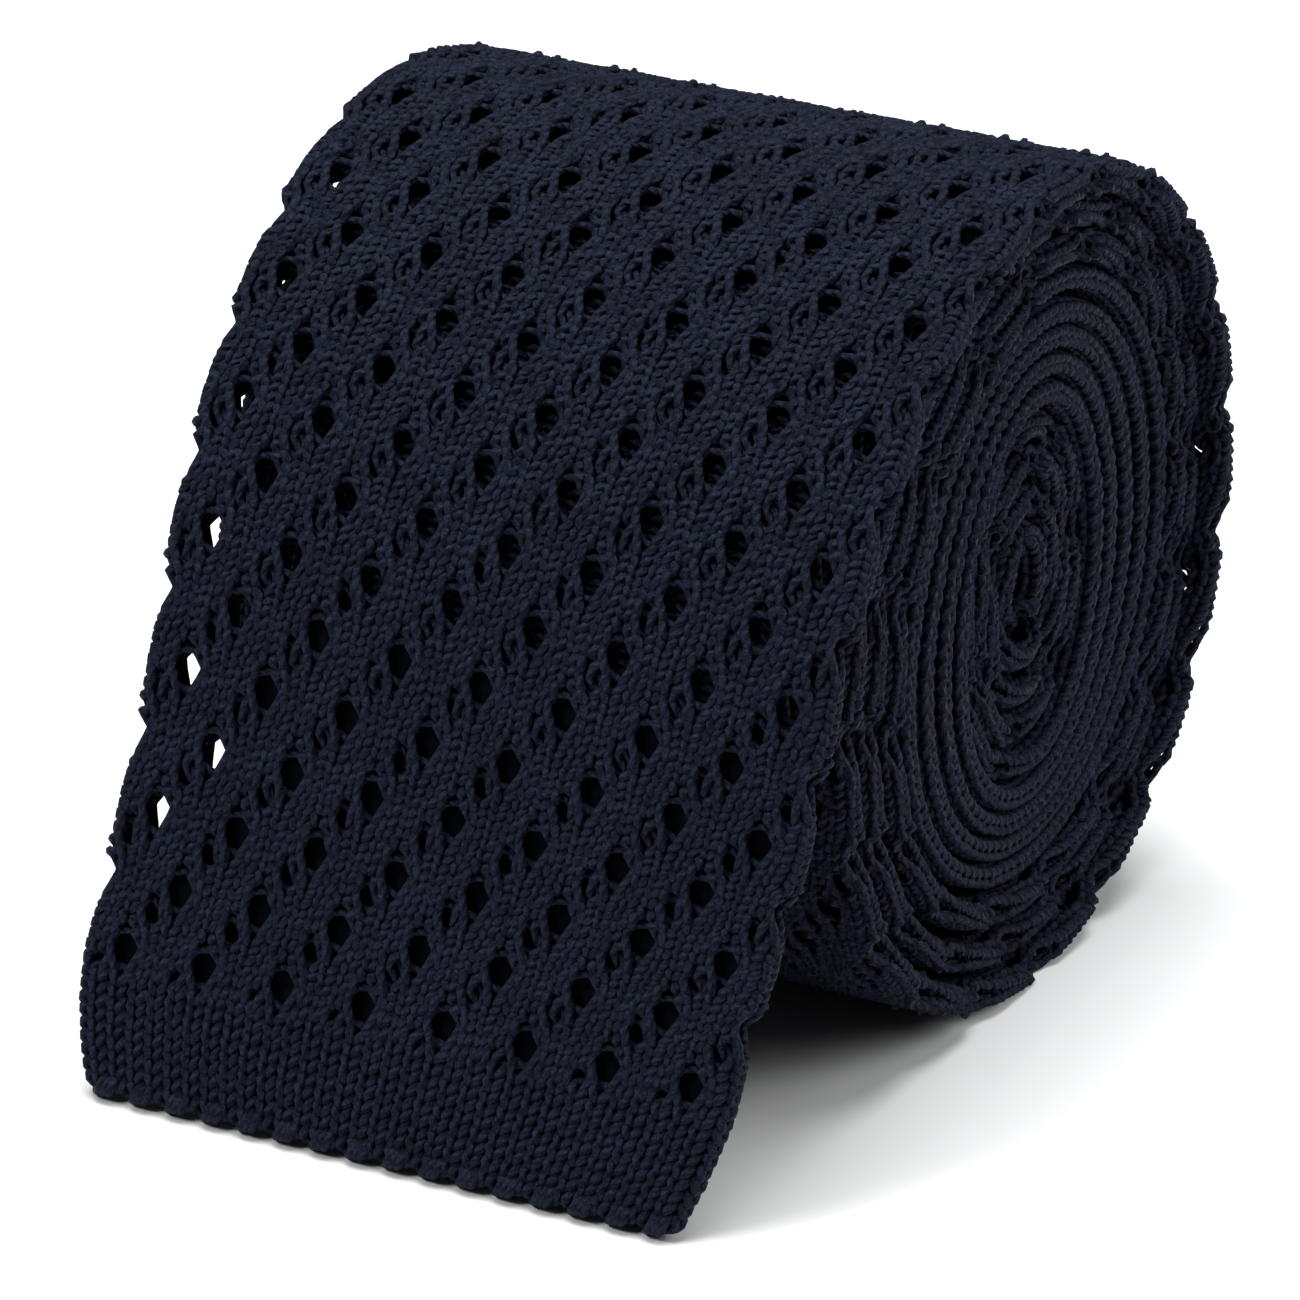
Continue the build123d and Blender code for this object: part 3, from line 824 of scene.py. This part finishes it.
def bent_strip(node, name, thick, material):
    """A flat strip with rounded edges, bent round the roll's axis where its CAD node lies."""
    low, high = corners(node)
    middle = (low + high) / 2
    angle = np.arctan2(middle[2] - axis_height, middle[1])
    far = np.hypot(middle[1], middle[2] - axis_height) + thick / 2
    half = np.hypot(high[1] - low[1], high[2] - low[2]) / 2 / far
    along, around = 25, 24
    turn = angle + np.linspace(-half, half, along)
    section = np.linspace(0, 2 * np.pi, around, endpoint=False)
    side = np.sign(np.cos(section)) * np.abs(np.cos(section)) ** CORNER_ROUNDING
    x = high[0] * side
    out = far + thick / 2 * np.sign(np.sin(section)) * np.abs(np.sin(section)) ** CORNER_ROUNDING
    points = np.stack([np.broadcast_to(x, (along, around)), np.cos(turn)[:, None] * out,
                       axis_height + np.sin(turn)[:, None] * out], -1) * MM
    first = np.arange(along * around).reshape(along, around)
    after = np.roll(first, -1, axis=1)
    quads = np.stack([first[:-1], after[:-1], after[1:], first[1:]], -1).reshape(-1, 4)
    ends = [[row[i], row[i + 1], row[around - 2 - i], row[around - 1 - i]]
            for row in (first[0], first[-1]) for i in range(around // 2 - 1)]
    strip = mesh_piece(name, points.reshape(-1, 3), np.concatenate([quads, ends]), material)
    return strip


keeper = bent_strip("keeper_loop", "keeper_ribbon", 0.5, woven("woven_ribbon", NAVY, 900, 0.5))
dress([keeper], "roll")
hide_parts("keeper_loop")


# ---- The keeper's tacks: a short zigzag of sewing thread over each end of the ribbon, which
# sews it down to the knit under it.
sewing_thread = yarn("sewing_thread", NAVY, 0.6)
tack_low, tack_high = corners("keeper_tacks")
tack_middle = (tack_low + tack_high) / 2
tack_angle = np.arctan2(tack_middle[2] - axis_height, tack_middle[1])
tack_far = np.hypot(tack_middle[1], tack_middle[2] - axis_height)
keeper_half = corners("keeper_loop")[1][0]
TACK_STITCHES = 9
TACK_LENGTH = 9.0
THREAD_RADIUS = 0.16
zigzag = np.linspace(0, TACK_STITCHES, TACK_STITCHES * 12)
swing = 2 * np.abs(zigzag % 1 - 0.5)
rows = []
for side in (-1, 1):
    turn = tack_angle + (zigzag / TACK_STITCHES - 0.5) * TACK_LENGTH / tack_far
    x = side * (keeper_half - 0.8 + (tack_high[0] - keeper_half + 0.6) * swing)
    far = tack_far + 0.1 * np.cos(2 * np.pi * zigzag)
    rows.append(np.stack([x, far * np.cos(turn), axis_height + far * np.sin(turn)], -1) * MM)
rows = np.array(rows)
outwards = rows - np.array([0.0, 0.0, axis_height]) * MM
outwards[..., 0] = 0.0
tacks = yarn_tubes("keeper_thread", rows, outwards, THREAD_RADIUS, 6, sewing_thread)
dress([tacks], "roll")
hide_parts("keeper_tacks")


# ---- The care label: a blank tag of off-white satin tape, cut to length and sewn to the
# blade's back in the second turn.
label = bent_strip("care_label", "label_tape", 0.3,
                   woven("satin_tape", (0.72, 0.71, 0.68), 2500, 0.35))
dress([label], "roll")
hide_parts("care_label")


# ---- The table, the light and the camera: a matt white table, a key lamp from the left, a fill
# lamp from the right behind, and a broad soft light overhead. The studio behind them looks
# white, but lights the tie only dimly.
AZIMUTH, ELEVATION, DISTANCE = 28.0, 24.0, 0.600
TARGET = Vector((0.0, -0.012, 0.032))
FOCAL = 211.0
AIM_LEFT, AIM_DOWN = 0.00006, 0.0036
SUN_STRENGTH, SUN_WIDTH = 4.0, 0.8
DIM_STUDIO, WHITE_BACKDROP = 0.04, 1.0


def soft_white(name, colour, roughness):
    """A plain matt surface."""
    material = bpy.data.materials.new(name)
    material.use_nodes = True
    surface = material.node_tree.nodes["Principled BSDF"]
    surface.inputs["Base Color"].default_value = (*colour, 1.0)
    surface.inputs["Roughness"].default_value = roughness
    return material


bpy.ops.mesh.primitive_plane_add(size=6.0)
table = bpy.context.object
table.name = "table"
table.data.materials.append(soft_white("table_white", (0.86, 0.865, 0.87), 0.6))

turn, rise = np.radians(AZIMUTH), np.radians(ELEVATION)
view = Vector((np.sin(turn) * np.cos(rise), -np.cos(turn) * np.cos(rise), np.sin(rise)))
right = Vector((np.cos(turn), np.sin(turn), 0.0))
up = view.cross(right)
camera_data = bpy.data.cameras.new("camera")
camera_data.lens = FOCAL
camera_data.sensor_width = 36.0
camera = bpy.data.objects.new("camera", camera_data)
bpy.context.scene.collection.objects.link(camera)
target = TARGET - AIM_LEFT * right - AIM_DOWN * up
camera.location = target + view * DISTANCE
camera.rotation_euler = view.to_track_quat("Z", "Y").to_euler()
bpy.context.scene.camera = camera


def lamp(name, place, size, power):
    """A square soft light that shines at the tie."""
    data = bpy.data.lights.new(name, "AREA")
    data.size = size
    data.energy = power
    light = bpy.data.objects.new(name, data)
    bpy.context.scene.collection.objects.link(light)
    light.location = place
    light.rotation_euler = (Vector(place) - TARGET).to_track_quat("Z", "Y").to_euler()


lamp("key", (-0.45, -0.62, 0.80), 0.35, 6.0)
lamp("fill", (0.85, 0.35, 0.60), 0.7, 7.0)
overhead = bpy.data.lights.new("overhead", "SUN")
overhead.energy = SUN_STRENGTH
overhead.angle = SUN_WIDTH
overhead_lamp = bpy.data.objects.new("overhead", overhead)
bpy.context.scene.collection.objects.link(overhead_lamp)
overhead_lamp.rotation_euler = Vector((-0.05, 0.15, 1.0)).to_track_quat("Z", "Y").to_euler()
world = bpy.data.worlds.new("studio")
world.use_nodes = True
backdrop = world.node_tree.nodes["Background"]
backdrop.inputs["Color"].default_value = (1.0, 1.0, 1.0, 1.0)
seen = add(world.node_tree, "ShaderNodeLightPath")
strength = add(world.node_tree, "ShaderNodeMapRange",
               {3: DIM_STUDIO, 4: WHITE_BACKDROP})
world.node_tree.links.new(seen.outputs["Is Camera Ray"], strength.inputs[0])
world.node_tree.links.new(strength.outputs[0], backdrop.inputs["Strength"])
bpy.context.scene.world = world
bpy.context.scene.view_settings.view_transform = "Standard"
